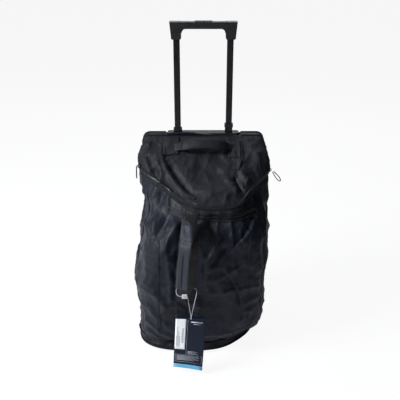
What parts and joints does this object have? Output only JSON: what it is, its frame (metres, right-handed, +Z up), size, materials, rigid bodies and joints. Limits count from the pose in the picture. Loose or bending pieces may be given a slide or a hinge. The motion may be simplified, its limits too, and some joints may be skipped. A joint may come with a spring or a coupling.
{
  "type": "rolling bag",
  "caption": "Soft upright rolling bag with a telescopic trolley, zipped top lid, grab handle, front carry handle, hang tag and wheeled rigid base.",
  "frame": {"origin": "middle of the bounding box at floor level, cords and tag left out", "axes": "+Z up, the front with the carry handle faces -Y, +X to the right seen from the front"},
  "size_m": [0.4248, 0.4003, 0.936],
  "materials": {
    "tube_black": "satin black coating",
    "fitting_plastic": "fine moulded grain",
    "grip_plastic": "fine moulded grain",
    "button_plastic": "smooth",
    "steel": "zinc plated",
    "nylon_body": "coated nylon with a soft sheen",
    "nylon_lid": "coated nylon with a soft sheen",
    "board_plastic": "plain",
    "lining_fabric": "thin lining",
    "base_plastic": "coarse moulded grain",
    "foot_rubber": "matt",
    "tyre_rubber": "matt",
    "hub_plastic": "smooth",
    "webbing": "ribbed webbing",
    "wrap_fabric": "coated nylon",
    "piping": "corded edge",
    "zip_tape": "woven tape with nylon coil",
    "zip_metal": "black enamel",
    "pull_cord": "braided cord",
    "tag_card": "coated card",
    "tag_white": "gloss paper",
    "seal_plastic": "smooth",
    "string": "twisted string",
    "stitching": "sewing thread"
  },
  "bodies": {
    "root": {"outer_tube_left": "tube_black", "outer_tube_right": "tube_black", "trolley_bezel": "fitting_plastic", "trolley_foot_bracket": "fitting_plastic", "bracket_rivets": "steel", "front_panel": "nylon_body", "side_panel_left": "nylon_body", "side_panel_right": "nylon_body", "bottom_panel": "nylon_body", "top_gusset": "nylon_body", "back_fabric": "nylon_body", "back_board": "board_plastic", "trolley_liner": "lining_fabric", "base_tray": "base_plastic", "front_feet": "foot_rubber", "base_screws": "steel", "wheel_housing_left": "base_plastic", "wheel_housing_right": "base_plastic", "axles": "steel", "skid_rails": "base_plastic", "carry_anchors": "webbing", "zipper_body_tape": "zip_tape", "zip_sliders": "zip_metal"},
    "middle_left": {"middle_tube_left": "tube_black", "middle_collar_left": "fitting_plastic", "middle_plug_left": "fitting_plastic"},
    "middle_right": {"middle_tube_right": "tube_black", "middle_collar_right": "fitting_plastic", "middle_plug_right": "fitting_plastic"},
    "handle": {"inner_tube_left": "tube_black", "inner_tube_right": "tube_black", "inner_plug_left": "fitting_plastic", "inner_plug_right": "fitting_plastic", "grip_bar": "grip_plastic", "grip_block_left": "grip_plastic", "grip_block_right": "grip_plastic", "grip_screws": "steel", "button_spring": "steel", "pin_springs": "steel"},
    "button": {"release_button": "button_plastic", "release_crossbar": "fitting_plastic", "push_rods": "steel"},
    "lock_pin_left": {"lock_pin_left": "steel"},
    "lock_pin_right": {"lock_pin_right": "steel"},
    "wheel_left": {"tyre_left": "tyre_rubber", "hub_left": "hub_plastic", "bearings_left": "steel"},
    "wheel_right": {"tyre_right": "tyre_rubber", "hub_right": "hub_plastic", "bearings_right": "steel"},
    "lid": {"top_lid": "nylon_lid", "zipper_lid_tape": "zip_tape"},
    "grab_handle": {"grab_handle": "webbing"},
    "carry_handle": {"carry_webbings": "webbing", "handle_wrap": "wrap_fabric"},
    "hang_tag": {"hang_tag": "tag_card", "tag_seal": "seal_plastic", "tag_string": "string"},
    "zip_pull_left": {"zip_pull_left": "pull_cord"},
    "zip_pull_right": {"zip_pull_right": "pull_cord"}
  },
  "joints": [
    {"name": "middle_slide_left", "type": "slide", "parent": "root", "child": "middle_left", "axis": [0, 0, 1], "range_m": [0, 0.13]},
    {"name": "middle_slide_right", "type": "slide", "parent": "root", "child": "middle_right", "axis": [0, 0, 1], "range_m": [0, 0.13]},
    {"name": "handle_slide", "type": "slide", "parent": "middle_left", "child": "handle", "axis": [0, 0, 1], "range_m": [-0.24, 0]},
    {"name": "button_press", "type": "slide", "parent": "handle", "child": "button", "axis": [0, 0, -1], "range_m": [0, 0.0035], "stiffness_N_per_m": 600, "springref_m": -0.004, "deforming": ["button_spring"]},
    {"name": "lock_pin_left_slide", "type": "slide", "parent": "handle", "child": "lock_pin_left", "axis": [1, 0, 0], "range_m": [0, 0.0025], "deforming": ["pin_springs"]},
    {"name": "lock_pin_right_slide", "type": "slide", "parent": "handle", "child": "lock_pin_right", "axis": [-1, 0, 0], "range_m": [0, 0.0025]},
    {"name": "wheel_left_spin", "type": "hinge", "parent": "root", "child": "wheel_left", "pos_m": [-0.14, 0.166, 0.032], "axis": [1, 0, 0], "continuous": true},
    {"name": "wheel_right_spin", "type": "hinge", "parent": "root", "child": "wheel_right", "pos_m": [0.14, 0.166, 0.032], "axis": [1, 0, 0], "continuous": true},
    {"name": "lid_hinge", "type": "hinge", "parent": "root", "child": "lid", "pos_m": [0, 0.14, 0.612], "axis": [-1, 0, 0], "range_deg": [0, 85]},
    {"name": "grab_swing", "type": "hinge", "parent": "lid", "child": "grab_handle", "pos_m": [0, 0.1038, 0.59451], "axis": [-1, 0, 0], "range_deg": [0, 60]},
    {"name": "carry_swing", "type": "hinge", "parent": "root", "child": "carry_handle", "pos_m": [-0.045, -0.141, 0.345], "axis": [0.0941, 0, 0.9956], "range_deg": [-40, 28]},
    {"name": "tag_swing", "type": "hinge", "parent": "carry_handle", "child": "hang_tag", "pos_m": [-0.045, -0.16, 0.276], "axis": [1, 0, 0], "range_deg": [-8, 5]},
    {"name": "zip_pull_left_swing", "type": "hinge", "parent": "root", "child": "zip_pull_left", "pos_m": [-0.1982, 0.07, 0.545], "axis": [1, 0, 0], "range_deg": [-85, 45]},
    {"name": "zip_pull_right_swing", "type": "hinge", "parent": "root", "child": "zip_pull_right", "pos_m": [0.1982, 0.066, 0.53], "axis": [0, 1, 0], "range_deg": [-40, 28]}
  ],
  "couplings": [
    {"joint": "middle_slide_right", "follows": "middle_slide_left", "ratio": 1},
    {"joint": "lock_pin_left_slide", "follows": "button_press", "ratio": 0.7},
    {"joint": "lock_pin_right_slide", "follows": "button_press", "ratio": 0.7}
  ]
}
